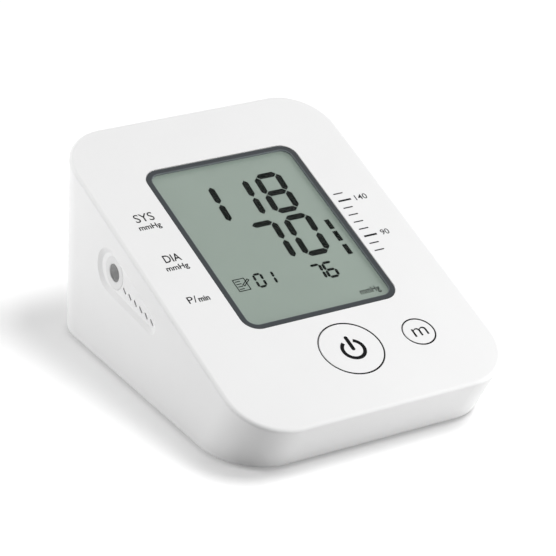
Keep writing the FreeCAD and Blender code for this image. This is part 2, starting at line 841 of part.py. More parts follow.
def battery_door():
    x0, x1, y0, y1 = door_outline(0.0)
    plate = box(x0, x1, pivot_y, y1, base_z, door_top)
    knuckle = rod(door_thickness / 2, V(x0, pivot_y, pivot_z), X, x1 - x0)
    reach = panel_gap + pivot_length
    stubs = rod(pivot_radius, V(x0 - reach, pivot_y, pivot_z), X, x1 - x0 + 2 * reach)
    a0, a1, b0, b1 = well_outline(-door_pad_inset)
    pad = box(a0, a1, b0, b1, door_top, door_top + door_pad_height)
    body = fuse(plate, knuckle, stubs, pad)
    for side in (-1, 1):
        x = side * tongue_width / 2
        body = body.cut(box(x - tongue_slot / 2, x + tongue_slot / 2, y1 - tongue_length, y1, base_z, REACH))
    ridges = []
    for index in range(grip_ridges):
        y = y1 - grip_start - index * grip_pitch
        ridges.append(box(-grip_half_length, grip_half_length, y - grip_width / 2, y + grip_width / 2,
                          base_z - grip_height, base_z + door_thickness / 2))
    return fuse(body, *ridges)


def cell_y(index):
    return well_front + cell_side_room + cell_radius + index * cell_pitch


def battery_cell(index):
    """One AA cell. Every other cell lies the other way round."""
    facing = 1 if index % 2 == 0 else -1
    tip = facing * (well_half_x - contact_thickness - seat_gap)
    along = X * -facing
    nub = rod(cell_nub_radius, V(tip, cell_y(index), cell_z), along, cell_nub)
    shoulder = tip - facing * cell_nub
    can = rod(cell_radius, V(shoulder, cell_y(index), cell_z), along, cell_length)
    return fuse(can, nub)


def contacts(side):
    """Spring leaves and flat plates on one end wall of the battery well."""
    solids = []
    half = contact_width / 2
    face = well_half_x - contact_thickness
    radius = (half * half + leaf_reach * leaf_reach) / (2 * leaf_reach)
    for index in range(cell_count):
        y = cell_y(index)
        plate = box(face, well_half_x, y - half, y + half, cell_z - half, cell_z + half)
        facing = 1 if index % 2 == 0 else -1
        if facing != side:
            centre = V(face - leaf_reach + radius, y - leaf_width / 2, cell_z)
            leaf = ring(radius, radius - contact_thickness, centre, Y, leaf_width)
            leaf = leaf.common(box(face - 2 * leaf_reach, face + contact_thickness / 2, y - half, y + half,
                                   cell_z - 2 * half, cell_z + 2 * half))
            plate = fuse(plate, leaf)
        solids.append(plate if side > 0 else plate.mirror(V(0, 0, 0), X))
    return Part.makeCompound(solids)


def air_jack():
    axis = V(jack_face_x, jack_y, jack_z)
    nose = rod(jack_nose_radius, axis, X, jack_back_x - jack_face_x)
    flange = rod(jack_flange_radius, V(jack_flange_x, jack_y, jack_z), X, jack_flange)
    outlet = rod(barb_radius, V(jack_outlet_x, jack_y, jack_z), Y, jack_nose_radius + barb_length())
    bore = rod(jack_bore_radius, axis, X, jack_bore_depth)
    passage = rod(air_passage_radius, V(jack_outlet_x, jack_y, jack_z), Y, jack_nose_radius + barb_length())
    return cut(fuse(nose, flange, outlet), bore, passage)


def barb_length():
    """Two barbs face each other inside the short hose and leave a gap between their tips."""
    return (tee_gap - slip_gap) / 2


def jack_washer():
    start = V(jack_seat_x, jack_y, jack_z)
    return ring(jack_flange_radius, jack_nose_radius + seat_gap, start, X, washer_thickness)


def air_tee():
    """Junction block between socket, pump, valve and sensor."""
    half = tee_size / 2
    block = box(tee_x - half, tee_x + half, tee_y - half, tee_y + half, air_z - half, air_z + half)
    centre = V(tee_x, tee_y, air_z)
    reach = half + barb_length()
    arms = [rod(barb_radius, centre, direction, reach) for direction in (Y, Y * -1, Z * -1)]
    passages = [rod(air_passage_radius, centre, direction, reach) for direction in (Y, Y * -1, Z * -1, Z)]
    port = rod(barb_radius + seat_gap, centre + Z * (half - sensor_port), Z, sensor_port)
    return cut(fuse(block, *arms), *passages, port)


def hose_between(start, direction, length):
    return ring(hose_radius, barb_radius + seat_gap, start, direction, length)


def jack_hose():
    start = jack_y + jack_nose_radius + slip_gap
    end = tee_y - tee_size / 2 - slip_gap
    return hose_between(V(tee_x, start, air_z), Y, end - start)


def valve_hose():
    start = valve_top() + slip_gap
    end = air_z - tee_size / 2 - slip_gap
    return hose_between(V(tee_x, tee_y, start), Z, end - start)


def pump_hose():
    """From the junction straight back, round one bend and along to the pump's nozzle."""
    start = V(tee_x, tee_y + tee_size / 2 + slip_gap, air_z)
    bend_in = V(tee_x, pump_y - hose_bend_radius, air_z)
    bend_out = V(tee_x + hose_bend_radius, pump_y, air_z)
    k = hose_bend_radius * math.sqrt(0.5)
    middle = V(tee_x + hose_bend_radius - k, pump_y - hose_bend_radius + k, air_z)
    end = V(pump_end - slip_gap, pump_y, air_z)
    path = Part.Wire([
        Part.LineSegment(start, bend_in).toShape(),
        Part.Arc(bend_in, middle, bend_out).toShape(),
        Part.LineSegment(bend_out, end).toShape(),
    ])

    def tube(radius):
        profile = Part.Wire(Part.Circle(start, Y, radius).toShape())
        return path.makePipeShell([profile], True, False)

    return tube(hose_radius).cut(tube(barb_radius + seat_gap))


def pressure_sensor():
    half = sensor_size / 2
    low = air_z + tee_size / 2 + seat_gap
    case = box(tee_x - half, tee_x + half, tee_y - half, tee_y + half, low, low + sensor_height)
    port = rod(barb_radius, V(tee_x, tee_y, low - sensor_port + slip_gap), Z, sensor_port)
    return fuse(case, port)


def valve_top():
    return base_top + valve_height


def release_valve():
    half = valve_size / 2
    body = box(tee_x - half, tee_x + half, tee_y - half, tee_y + half, base_top, valve_top())
    nozzle_length = (air_z - tee_size / 2 - valve_top()) / 2
    nozzle = rod(barb_radius, V(tee_x, tee_y, valve_top()), Z, nozzle_length)
    floor = V(tee_x, tee_y, base_top + valve_floor)
    chamber_length = valve_plunger_length + valve_stroke + panel_gap
    chamber = rod(valve_bore_radius + running_gap, floor, Z, chamber_length)
    passage = rod(air_passage_radius, floor, Z, valve_height + nozzle_length)
    return cut(fuse(body, nozzle), chamber, passage)


def valve_plunger():
    return rod(valve_bore_radius, V(tee_x, tee_y, base_top + valve_floor), Z, valve_plunger_length)


def pump_head():
    axis = V(pump_end, pump_y, pump_z)
    body = rod(pump_head_radius, axis, X, pump_head_length)
    outlet = V(pump_end, pump_y, air_z)
    nozzle = rod(barb_radius, outlet, X * -1, pump_nozzle)
    room = rod(crank_room_radius, V(motor_start - crank_room_length, pump_y, pump_z), X, crank_room_length)
    passage = rod(air_passage_radius, outlet - X * pump_nozzle, X, 2 * pump_nozzle)
    return cut(fuse(body, nozzle), room, passage)


def pump_motor():
    start = V(motor_start, pump_y, pump_z)
    can = rod(motor_radius, start, X, motor_length)
    inside = rod(motor_radius - motor_skin, start + X * motor_skin, X, motor_length - 2 * motor_skin)
    bearing = rod(shaft_radius + running_gap, start, X, motor_length - motor_skin / 2)
    return cut(can, inside, bearing)


def pump_rotor():
    start = motor_start - crank_gap - crank_thickness
    end = motor_end - motor_skin / 2 - slip_gap
    shaft = rod(shaft_radius, V(start, pump_y, pump_z), X, end - start)
    middle = motor_start + motor_length / 2
    armature = rod(armature_radius, V(middle - armature_length / 2, pump_y, pump_z), X, armature_length)
    return fuse(shaft, armature)


def pump_crank():
    start = V(motor_start - crank_gap - crank_thickness, pump_y, pump_z)
    disc = ring(crank_radius, shaft_radius + seat_gap, start, X, crank_thickness)
    pin = rod(shaft_radius, start + Y * crank_pin_offset, X * -1, crank_pin_length)
    return fuse(disc, pin)


def pump_sleeves():
    solids = []
    for x, radius in pump_sleeve_places():
        solids.append(ring(sleeve_radius, radius + seat_gap, V(x, pump_y, pump_z), X, sleeve_width))
    return Part.makeCompound(solids)


def buzzer():
    start = V(jack_seat_x + panel_gap, buzzer_y, buzzer_z)
    can = rod(buzzer_radius, start, X, buzzer_height)
    return can.cut(rod(buzzer_port_radius, start, X, buzzer_height / 2))


def power_inlet():
    y = inlet_back
    body = box(inlet_x - inlet_width / 2, inlet_x + inlet_width / 2, y - inlet_length, y,
               inlet_low, inlet_low + inlet_height)
    bore = rod(inlet_bore_radius, V(inlet_x, y, inlet_z), Y * -1, inlet_bore_depth)
    pin = rod(inlet_pin_radius, V(inlet_x, y - inlet_bore_depth, inlet_z), Y, inlet_bore_depth - panel_gap)
    return fuse(body.cut(bore), pin)


def pieces():
    """Every node's shape by name."""
    found = {
        "upper_housing": upper_housing(),
        "base_cover": base_cover(),
        "rubber_feet": rubber_feet(),
        "case_screws": case_screws(),
        "battery_door": battery_door(),
        "left_contacts": contacts(-1),
        "right_contacts": contacts(1),
        "display_bezel": display_bezel(),
        "display_lens": display_lens(),
        "lcd_glass": lcd_glass(),
        "lcd_reflector": lcd_reflector(),
        "lcd_frame": lcd_frame(),
        "zebra_strip": zebra_strip(),
        "main_board": main_board(),
        "board_screws": board_screws(),
        "processor_chip": processor_chip(),
        "board_components": board_components(),
        "air_jack": air_jack(),
        "jack_washer": jack_washer(),
        "air_tee": air_tee(),
        "jack_hose": jack_hose(),
        "valve_hose": valve_hose(),
        "pump_hose": pump_hose(),
        "pressure_sensor": pressure_sensor(),
        "release_valve": release_valve(),
        "valve_plunger": valve_plunger(),
        "pump_head": pump_head(),
        "pump_motor": pump_motor(),
        "pump_rotor": pump_rotor(),
        "pump_crank": pump_crank(),
        "pump_sleeves": pump_sleeves(),
        "buzzer": buzzer(),
        "power_inlet": power_inlet(),
    }
    for index in range(cell_count):
        found[f"battery_cell_{index + 1}"] = battery_cell(index)
    for name in keys():
        found[f"{name}_button"] = key(name)
        found[f"{name}_switch"] = key_switch(name)
        found[f"{name}_plunger"] = key_plunger(name)
    return found


if __name__ == "__main__":
    os.makedirs("parts", exist_ok=True)
    for node, shape in pieces().items():
        shape.exportStep(f"parts/{node}.step")
        print(f"{node}: {len(shape.Solids)} solids, {shape.Volume:.0f} mm3, valid {shape.isValid()}")
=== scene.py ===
# %% [markdown]
# # The looks of a desktop blood pressure monitor
# The solids of this monitor were drawn in CAD: a white wedge with a tilted face, a display behind a dark
# ring, two round keys and everything inside. This lesson gives those solids their finishes and adds what is
# printed, inlaid or shown on them. Sizes are written in millimetres and multiplied by `mm`, because Blender
# works in metres here and the CAD frame does too.

# %% Load the frame
import json
import math

import bmesh
import bpy
from mathutils import Matrix, Vector


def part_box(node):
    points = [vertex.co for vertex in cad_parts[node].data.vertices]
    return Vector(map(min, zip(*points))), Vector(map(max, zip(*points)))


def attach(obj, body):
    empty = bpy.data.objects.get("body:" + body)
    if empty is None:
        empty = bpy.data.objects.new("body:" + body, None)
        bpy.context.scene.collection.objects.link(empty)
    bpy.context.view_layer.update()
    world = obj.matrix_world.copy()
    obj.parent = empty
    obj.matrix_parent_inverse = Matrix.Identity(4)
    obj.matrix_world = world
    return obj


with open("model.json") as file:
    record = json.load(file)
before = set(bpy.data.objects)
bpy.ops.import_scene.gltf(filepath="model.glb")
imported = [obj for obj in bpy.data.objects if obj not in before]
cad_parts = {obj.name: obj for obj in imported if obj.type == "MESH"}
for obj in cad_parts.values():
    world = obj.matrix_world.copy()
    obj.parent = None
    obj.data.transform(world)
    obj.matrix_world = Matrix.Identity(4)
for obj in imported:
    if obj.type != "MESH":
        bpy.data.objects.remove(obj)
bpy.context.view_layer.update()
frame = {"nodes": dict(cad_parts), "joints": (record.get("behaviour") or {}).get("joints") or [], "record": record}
mm = 0.001
scene = bpy.context.scene
scene.view_settings.view_transform = "Standard"

# %% [markdown]
# ## Camera
# The photograph was taken from the front left with a long lens, so parallel edges stay almost parallel. The
# lens and the place were worked out from the display's rectangle and the two round keys, whose true shapes
# are known. A camera could be aimed with a Track To constraint, but that leaves its roll open. The
# picture's right and down directions fix the whole turn, so they are used.

# %% Camera
picture_right = Vector((0.8432, -0.5345, 0.0584))
picture_down = Vector((-0.1941, -0.4039, -0.8940))
camera_back = picture_right.cross(-picture_down)
camera_turn = Matrix((picture_right, -picture_down, camera_back)).transposed()
camera_place = Vector((-423.3, -624.8, 406.6)) * mm
lens_length = 170.1
film_width = 36
nearest_seen = 10 * mm

bpy.ops.object.camera_add(location=camera_place, rotation=camera_turn.to_euler())
camera = bpy.context.object
camera.name = "photo_camera"
camera.data.sensor_width = film_width
camera.data.lens = lens_length
camera.data.clip_start = nearest_seen
scene.camera = camera
print("camera at", [round(c, 3) for c in camera.location], "lens", lens_length)

# %% [markdown]
# ## Floor
# The monitor stands on white paper. Stronger lamps could whiten it as in the photograph, but they would
# bleach the white case too. So the camera, a reflection and the clear window see a pale paper with a little
# glow, which reads as white and keeps the shadow. For bounced light the paper is duller, so that the front
# wall isn't lit too strongly from below. Light Path tells the two kinds of ray apart.

# %% Two looks for two kinds of ray
def seen_or_bounced(nodes, links, seen, bounced):
    """Mixes two shaders: `seen` for the rays that show a background, `bounced` for all other light."""
    path = nodes.new("ShaderNodeLightPath")
    factor = path.outputs["Is Camera Ray"]
    for ray in ("Is Glossy Ray", "Is Transmission Ray"):
        either = nodes.new("ShaderNodeMath")
        either.operation = "MAXIMUM"
        links.new(factor, either.inputs[0])
        links.new(path.outputs[ray], either.inputs[1])
        factor = either.outputs[0]
    choice = nodes.new("ShaderNodeMixShader")
    links.new(factor, choice.inputs["Fac"])
    links.new(bounced.outputs[0], choice.inputs[1])
    links.new(seen.outputs[0], choice.inputs[2])
    return choice.outputs[0]


print("background rays: camera, glossy, transmission")

# %% Floor
floor_width = 6
bounced_paper = 0.63
seen_paper = 0.9
seen_glow = 0.21

bpy.ops.mesh.primitive_plane_add(size=floor_width, location=(0, 0, 0))
floor = bpy.context.object
floor.name = "studio_floor"

floor_paper = bpy.data.materials.new("floor_paper")
floor_paper.use_nodes = True
nodes, links = floor_paper.node_tree.nodes, floor_paper.node_tree.links
nodes.clear()
matt = nodes.new("ShaderNodeBsdfDiffuse")
matt.inputs["Color"].default_value = (bounced_paper, bounced_paper, bounced_paper, 1)
pale = nodes.new("ShaderNodeBsdfDiffuse")
pale.inputs["Color"].default_value = (seen_paper, seen_paper, seen_paper, 1)
glow = nodes.new("ShaderNodeEmission")
glow.inputs["Strength"].default_value = seen_glow
pale_and_glow = nodes.new("ShaderNodeAddShader")
links.new(pale.outputs[0], pale_and_glow.inputs[0])
links.new(glow.outputs[0], pale_and_glow.inputs[1])
surface = nodes.new("ShaderNodeOutputMaterial")
links.new(seen_or_bounced(nodes, links, pale_and_glow, matt), surface.inputs["Surface"])
floor.data.materials.append(floor_paper)
print("floor", floor.name, "paper", seen_paper, "glow", seen_glow)

# %% [markdown]
# ## Air
# The room itself gives a weak, even light from all sides, which fills the shadows. A picture of a studio
# could do this, but one even colour is enough for a white room. What the camera, a reflection or the window
# sees of it is plain white, by the same switch as on the floor.

# %% Air
fill_strength = 0.22
white_strength = 1

air = bpy.data.worlds.new("studio_air")
scene.world = air
air.use_nodes = True
nodes, links = air.node_tree.nodes, air.node_tree.links
nodes.clear()
fill = nodes.new("ShaderNodeBackground")
white = nodes.new("ShaderNodeBackground")
for background, strength in ((fill, fill_strength), (white, white_strength)):
    background.inputs["Color"].default_value = (1, 1, 1, 1)
    background.inputs["Strength"].default_value = strength
surface = nodes.new("ShaderNodeOutputWorld")
links.new(seen_or_bounced(nodes, links, white, fill), surface.inputs["Surface"])
print("air", air.name, "strength", fill_strength)

# %% [markdown]
# ## Lamps
# A large lamp high on the right lights the face and the floor. A small one low at the rear left lifts the
# wall with the air socket, and another near the floor at the front right makes the front wall brighter
# towards the right. Point lamps or a sun would throw hard shadows, so these are area lamps. Mirrored rays
# don't see them, so that no square of light lies on the window or along an edge.

# %% Lamps
lamp_target = Vector((0, 0, 40)) * mm


def softbox(name, place, size, watts):
    """A square studio lamp that faces the object and leaves no glare. Place and size are in metres."""
    facing = (lamp_target - place).to_track_quat("-Z", "Y").to_euler()
    bpy.ops.object.light_add(type="AREA", location=place, rotation=facing)
    lamp = bpy.context.object
    lamp.name = name
    lamp.data.size = size
    lamp.data.energy = watts
    lamp.visible_camera = False
    lamp.visible_glossy = False
    lamp.visible_transmission = False
    print(name, "at", [round(c, 2) for c in place], watts, "W")


softbox("right_lamp", place=Vector((1.0, -0.6, 2.8)), size=1.3, watts=65)
softbox("rear_left_lamp", place=Vector((-0.48, 0.36, 0.15)), size=0.25, watts=1.95)
softbox("front_right_lamp", place=Vector((0.3, -0.31, 0.03)), size=0.14, watts=1.1)

# %% [markdown]
# ## A place to draw on the face
# Everything printed on the face or shown by the display is laid out flat, like artwork on paper, and then
# tilted into place. It could be drawn tilted at once, but flat sizes are easier to read and to change. The
# face's tilt is read from the power key's press direction, its height from the housing, and its middle from
# the clear window, so that the artwork follows the solids by itself.

# %% Face frame
press = next(joint for joint in frame["joints"] if joint["name"] == "power_press")
face_out = -Vector(press["axis"]).normalized()
face_right = Vector((1, 0, 0))
face_up = face_out.cross(face_right)


def height_along(node, direction):
    """The furthest reach of a CAD node along a direction, in metres."""
    return max(vertex.co.dot(direction) for vertex in frame["nodes"][node].data.vertices)


def box_middle(node):
    """The middle of a CAD node's box."""
    low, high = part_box(node)
    return (low + high) / 2


face_height = height_along("upper_housing", face_out)
panel_drop = height_along("lcd_glass", face_out) - face_height
window_middle = box_middle("display_lens")
face_origin = window_middle + face_out * (face_height - window_middle.dot(face_out))
face_turn = Matrix((face_right, face_up, face_out)).transposed().to_4x4()
on_face = Matrix.Translation(face_origin) @ face_turn
print("face middle in mm", [round(c / mm, 2) for c in face_origin], "panel drop", round(panel_drop / mm, 2))

# %% [markdown]
# ## Finishes
# A real moulding is never one flat colour. Its tint clouds slightly where the melt met, its gloss varies
# and the mould leaves a fine grain. A painted image could show this, but it needs an unwrapped mesh and
# blurs close up. Each finish here is built from the same layers of noise in Object coordinates (real
# millimetres), so the grain has one true size on every piece and stays on it when the piece moves. Noise
# seldom leaves the middle of its range, so a layer runs its full course between two values there.

# %% Noise and colours
noise_low, noise_high = 0.3, 0.7


def new_finish(name):
    """An empty finish: its material, nodes, links and shader."""
    finish = bpy.data.materials.new(name)
    finish.use_nodes = True
    nodes = finish.node_tree.nodes
    return finish, nodes, finish.node_tree.links, nodes["Principled BSDF"]


def noise_layer(nodes, links, feature, detail=2.0, stretch=(1, 1, 1)):
    """Noise whose blotches are about `feature` millimetres across."""
    place = nodes.new("ShaderNodeTexCoord")
    mapping = nodes.new("ShaderNodeMapping")
    mapping.inputs["Scale"].default_value = stretch
    noise = nodes.new("ShaderNodeTexNoise")
    noise.inputs["Scale"].default_value = 1 / (feature * mm)
    noise.inputs["Detail"].default_value = detail
    links.new(place.outputs["Object"], mapping.inputs["Vector"])
    links.new(mapping.outputs["Vector"], noise.inputs["Vector"])
    return noise.outputs["Fac"]


def shade(colour, share):
    """The same colour, darker or lighter by a share."""
    return tuple(min(1.0, c * share) for c in colour)


def srgb(*levels):
    """A colour as picture levels from 0 to 255, turned into the linear numbers that shaders use."""
    shares = [level / 255 for level in levels]
    return tuple(c / 12.92 if c <= 0.04045 else ((c + 0.055) / 1.055) ** 2.4 for c in shares)


print("noise runs its course from", noise_low, "to", noise_high)

# %% Layers that every finish shares
def tint(nodes, links, factor, dark, light):
    """A colour that runs from dark to light with the noise."""
    ramp = nodes.new("ShaderNodeValToRGB")
    for element, position, colour in zip(ramp.color_ramp.elements, (noise_low, noise_high), (dark, light)):
        element.position = position
        element.color = (*colour, 1)
    links.new(factor, ramp.inputs["Fac"])
    return ramp.outputs["Color"]


def clouded(nodes, links, shader, factor, colour, dark, light):
    """Lets the shader's colour run from a darker to a lighter share of itself with the noise."""
    clouds = tint(nodes, links, factor, shade(colour, dark), shade(colour, light))
    links.new(clouds, shader.inputs["Base Color"])


def uneven_gloss(nodes, links, shader, factor, gloss, swing):
    """Lets the shader's roughness swing to both sides of a value with the noise."""
    span = nodes.new("ShaderNodeMapRange")
    span.inputs["From Min"].default_value = noise_low
    span.inputs["From Max"].default_value = noise_high
    span.inputs["To Min"].default_value = gloss - swing
    span.inputs["To Max"].default_value = gloss + swing
    links.new(factor, span.inputs["Value"])
    links.new(span.outputs["Result"], shader.inputs["Roughness"])


def grain(nodes, links, shader, factor, depth):
    """Bumps of about `depth` millimetres."""
    bump = nodes.new("ShaderNodeBump")
    bump.inputs["Distance"].default_value = depth * mm
    links.new(factor, bump.inputs["Height"])
    links.new(bump.outputs["Normal"], shader.inputs["Normal"])


print("layers: clouded colour, uneven gloss, grain")

# %% [markdown]
# ### Moulded plastic
# The case, keys and inner frames are injection moulded. White ABS of this kind is satin: a broad soft sheen
# from an even spark-eroded grain about a third of a millimetre wide and a few microns deep. That is far too
# fine to model, so it is a bump. One helper makes all of these, because the pieces only differ in colour,
# gloss, grain and clouds.

# %% Moulded plastic
cloud_size, cloud_detail = 22, 3
gloss_patch, gloss_swing = 5, 0.05
plastic_ior = 1.5


def moulded(name, colour, gloss, grain_size, grain_depth, cloud):
    """Moulded plastic. The grain is in millimetres, and the cloud is a share of the colour."""
    finish, nodes, links, shader = new_finish(name)
    clouds = noise_layer(nodes, links, cloud_size, cloud_detail)
    clouded(nodes, links, shader, clouds, colour, 1 - cloud, 1 + cloud)
    uneven_gloss(nodes, links, shader, noise_layer(nodes, links, gloss_patch), gloss, gloss_swing)
    grain(nodes, links, shader, noise_layer(nodes, links, grain_size), grain_depth)
    shader.inputs["IOR"].default_value = plastic_ior
    print("moulded", name)
    return finish


# Each row: name, colour, gloss, grain size, grain depth, cloud
finishes = {
    "housing_white": moulded("satin_white_shell", srgb(240, 240, 240), 0.42, 0.35, 0.004, 0.008),
    "base_white": moulded("satin_white_base", srgb(234, 234, 233), 0.5, 0.5, 0.006, 0.012),
    "key_white": moulded("satin_white_keys", srgb(240, 240, 240), 0.38, 0.3, 0.003, 0.008),
    "frame_black": moulded("black_frame_plastic", srgb(28, 28, 29), 0.5, 0.4, 0.005, 0.1),
    "chip_black": moulded("black_package_resin", srgb(24, 24, 25), 0.45, 0.25, 0.006, 0.12),
    "pump_black": moulded("black_pump_nylon", srgb(32, 32, 33), 0.5, 0.5, 0.006, 0.1),
    "jack_grey": moulded("white_socket_plastic", srgb(228, 228, 228), 0.42, 0.35, 0.004, 0.012),
}

# %% [markdown]
# ### Display ring
# The ring round the display is dark outside, and its inner edge and inner wall are painted a lighter grey:
# painted light, for the light that the inner edge picks up from the panel. A second material on the inner
# faces could do this, but it would end in a hard line, so the painted light follows the distance from the
# opening, which is a rounded rectangle. A Mapping node lays the face flat, the absolute value folds all four
# corners onto one, and what then reaches past the middle of that corner's arc has the distance as its length.

# %% Distance from the display's opening
display_half = Vector((28.6, 36.85, 0)) * mm
display_corner = 5.5 * mm
arc_middle = display_half - Vector((display_corner, display_corner, 0))

finish, nodes, links, shader = new_finish("dark_ring_painted_light")
place = nodes.new("ShaderNodeTexCoord")
flat = nodes.new("ShaderNodeMapping")
flat.vector_type = "TEXTURE"
flat.inputs["Location"].default_value = face_origin
flat.inputs["Rotation"].default_value = face_turn.to_euler()
links.new(place.outputs["Object"], flat.inputs["Vector"])
reach = flat.outputs["Vector"]
for operation, second in (("ABSOLUTE", (0, 0, 0)), ("MULTIPLY", (1, 1, 0)), ("SUBTRACT", arc_middle),
                          ("MAXIMUM", (0, 0, 0)), ("LENGTH", (0, 0, 0))):
    step = nodes.new("ShaderNodeVectorMath")
    step.operation = operation
    step.inputs[1].default_value = second
    links.new(reach, step.inputs[0])
    reach = step.outputs["Value" if operation == "LENGTH" else "Vector"]
print("middle of the corner's arc in mm", [round(c / mm, 2) for c in arc_middle])

# %% Display ring
ring_rim = 2.05 * mm
ring_dark = srgb(36, 42, 46)
# Painted light: the lighter grey of the ring's inner edge and inner wall, for light picked up from the panel.
ring_painted_light = srgb(108, 115, 118)
inner_edge = display_corner - ring_rim
painted_light_width = 0.4 * mm
ring_gloss = 0.4
ring_grain_size, ring_grain_depth = 0.4, 0.004

# The painted light fades from the opening's inner edge outwards over a narrow width.
painted_light_fade = nodes.new("ShaderNodeMapRange")
painted_light_fade.inputs["From Min"].default_value = inner_edge
painted_light_fade.inputs["From Max"].default_value = inner_edge + painted_light_width
painted_light_fade.inputs["To Min"].default_value = noise_low
painted_light_fade.inputs["To Max"].default_value = noise_high
links.new(reach, painted_light_fade.inputs["Value"])
links.new(tint(nodes, links, painted_light_fade.outputs["Result"], ring_painted_light, ring_dark), shader.inputs["Base Color"])
uneven_gloss(nodes, links, shader, noise_layer(nodes, links, gloss_patch), ring_gloss, gloss_swing)
grain(nodes, links, shader, noise_layer(nodes, links, ring_grain_size), ring_grain_depth)
finishes["bezel_grey"] = finish
print("display ring", finish.name)

# %% [markdown]
# ### Rubber and silicone
# Feet and pump sleeves are black rubber, the hoses and the washer are milky silicone. Both are duller than
# plastic. Silicone lets a little light in. A paler colour could only hint at that, while a small subsurface
# share shows it along the hoses' edges.

# %% Rubber and silicone
bloom_size, bloom_detail, bloom = 6, 4, 0.12
dull_patch, dull_swing = 2, 0.06
skin_grain_size, skin_grain_depth = 0.2, 0.006
milk_depth = Vector((2, 2, 1.8)) * mm


def rubbery(name, colour, gloss, milky):
    """Rubber with a dusty bloom, or silicone when milky is above zero."""
    finish, nodes, links, shader = new_finish(name)
    dust = noise_layer(nodes, links, bloom_size, bloom_detail)
    clouded(nodes, links, shader, dust, colour, 1 - bloom, 1 + bloom)
    uneven_gloss(nodes, links, shader, noise_layer(nodes, links, dull_patch), gloss, dull_swing)
    grain(nodes, links, shader, noise_layer(nodes, links, skin_grain_size), skin_grain_depth)
    shader.inputs["Subsurface Weight"].default_value = milky
    shader.inputs["Subsurface Radius"].default_value = milk_depth
    shader.inputs["Subsurface Scale"].default_value = 1
    print("rubbery", name)
    return finish


finishes["foot_rubber"] = rubbery("black_foot_rubber", srgb(38, 38, 39), gloss=0.75, milky=0)
finishes["silicone"] = rubbery("milky_silicone", srgb(214, 214, 208), gloss=0.45, milky=0.15)

# %% [markdown]
# ### Metals
# Screws, contacts, motor can and valve are plated or drawn steel. Rolling and drawing leave streaks along
# one direction. Anisotropic shading could show them, but it needs an unwrapped mesh, so noise stretched
# along that direction drives both gloss and bump.

# %% Metals
stain_size, stain_detail = 4, 3
stain_dark, stain_light = 0.9, 1.05
streak_size, streak_detail, streak_depth = 0.3, 2, 0.002
streak_swing = 0.08


def metal(name, colour, gloss, streak):
    """Plated steel. `streak` scales the noise, and streaks lie along the direction with the small scale."""
    finish, nodes, links, shader = new_finish(name)
    shader.inputs["Metallic"].default_value = 1
    stains = noise_layer(nodes, links, stain_size, stain_detail)
    clouded(nodes, links, shader, stains, colour, stain_dark, stain_light)
    streaks = noise_layer(nodes, links, streak_size, streak_detail, streak)
    uneven_gloss(nodes, links, shader, streaks, gloss, streak_swing)
    grain(nodes, links, shader, streaks, streak_depth)
    print("metal", name)
    return finish


finishes["screw_steel"] = metal("zinc_screws", srgb(196, 197, 200), gloss=0.35, streak=(1, 1, 1))
finishes["contact_nickel"] = metal("nickel_contacts", srgb(206, 204, 196), gloss=0.28, streak=(1, 1, 0.1))
finishes["component_metal"] = metal("tinned_cans", srgb(190, 191, 194), gloss=0.32, streak=(1, 0.2, 1))
finishes["valve_metal"] = metal("valve_steel", srgb(184, 184, 186), gloss=0.38, streak=(1, 1, 0.1))
finishes["motor_steel"] = metal("motor_can_steel", srgb(188, 189, 191), gloss=0.34, streak=(0.1, 1, 1))
finishes["reflector_silver"] = metal("silver_film", srgb(202, 205, 202), gloss=0.4, streak=(1, 1, 1))

# %% [markdown]
# ### Circuit board
# The board is green solder mask over copper. The tracks show as faintly lighter lines. They could be
# modelled one by one, but the mortar of a brick pattern does well enough for a piece that is only seen with
# the case open.

# %% Circuit board
track_pitch = 4 * mm
track_width = 0.03
track_height = 0.02
mask_colours = {"Color1": srgb(26, 92, 52), "Color2": srgb(30, 100, 58), "Mortar": srgb(48, 128, 76)}
mask_patch, mask_gloss, mask_swing = 3, 0.3, 0.05

finish, nodes, links, shader = new_finish("solder_mask_green")
place = nodes.new("ShaderNodeTexCoord")
tracks = nodes.new("ShaderNodeTexBrick")
tracks.inputs["Scale"].default_value = 1 / track_pitch
tracks.inputs["Mortar Size"].default_value = track_width
for socket, colour in mask_colours.items():
    tracks.inputs[socket].default_value = (*colour, 1)
links.new(place.outputs["Object"], tracks.inputs["Vector"])
links.new(tracks.outputs["Color"], shader.inputs["Base Color"])
uneven_gloss(nodes, links, shader, noise_layer(nodes, links, mask_patch), mask_gloss, mask_swing)
grain(nodes, links, shader, tracks.outputs["Fac"], track_height)
finishes["board_green"] = finish
print("circuit board", finish.name)

# %% [markdown]
# ### Battery cells
# Four plain AA cells lie side by side, each with its length along X. Their wrap is a dark sleeve with a
# copper-coloured band at one end, as on many cells, with no print. The band could be a second material, but
# then each mesh would have to be cut there, so the distance along X decides between sleeve and band. The
# bare metal ends need no colour of their own, because only the wrap shows through the open door.

# %% Sleeve and band
sleeve_grey = srgb(44, 47, 52)
band_copper = srgb(176, 122, 74)
band_start = 0.72

finish, nodes, links, shader = new_finish("cell_sleeve")
place = nodes.new("ShaderNodeTexCoord")
axes = nodes.new("ShaderNodeSeparateXYZ")
links.new(place.outputs["Object"], axes.inputs["Vector"])
low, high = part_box("battery_cell_1")
along = nodes.new("ShaderNodeMapRange")
along.inputs["From Min"].default_value = low.x
along.inputs["From Max"].default_value = high.x
links.new(axes.outputs["X"], along.inputs["Value"])
band = nodes.new("ShaderNodeValToRGB")
band.color_ramp.interpolation = "CONSTANT"
band.color_ramp.elements[0].color = (*sleeve_grey, 1)
band.color_ramp.elements[1].position = band_start
band.color_ramp.elements[1].color = (*band_copper, 1)
links.new(along.outputs["Result"], band.inputs["Fac"])
print("cells from", round(low.x, 4), "to", round(high.x, 4), "band from", band_start)

# %% Scuffed wrap
scuff_size, scuff_detail = 6, 3
scuff_dark, scuff_light = (0.85, 0.85, 0.85), (1, 1, 1)
wrap_patch, wrap_gloss, wrap_swing = 2, 0.28, 0.06
wrap_metal = 0.6

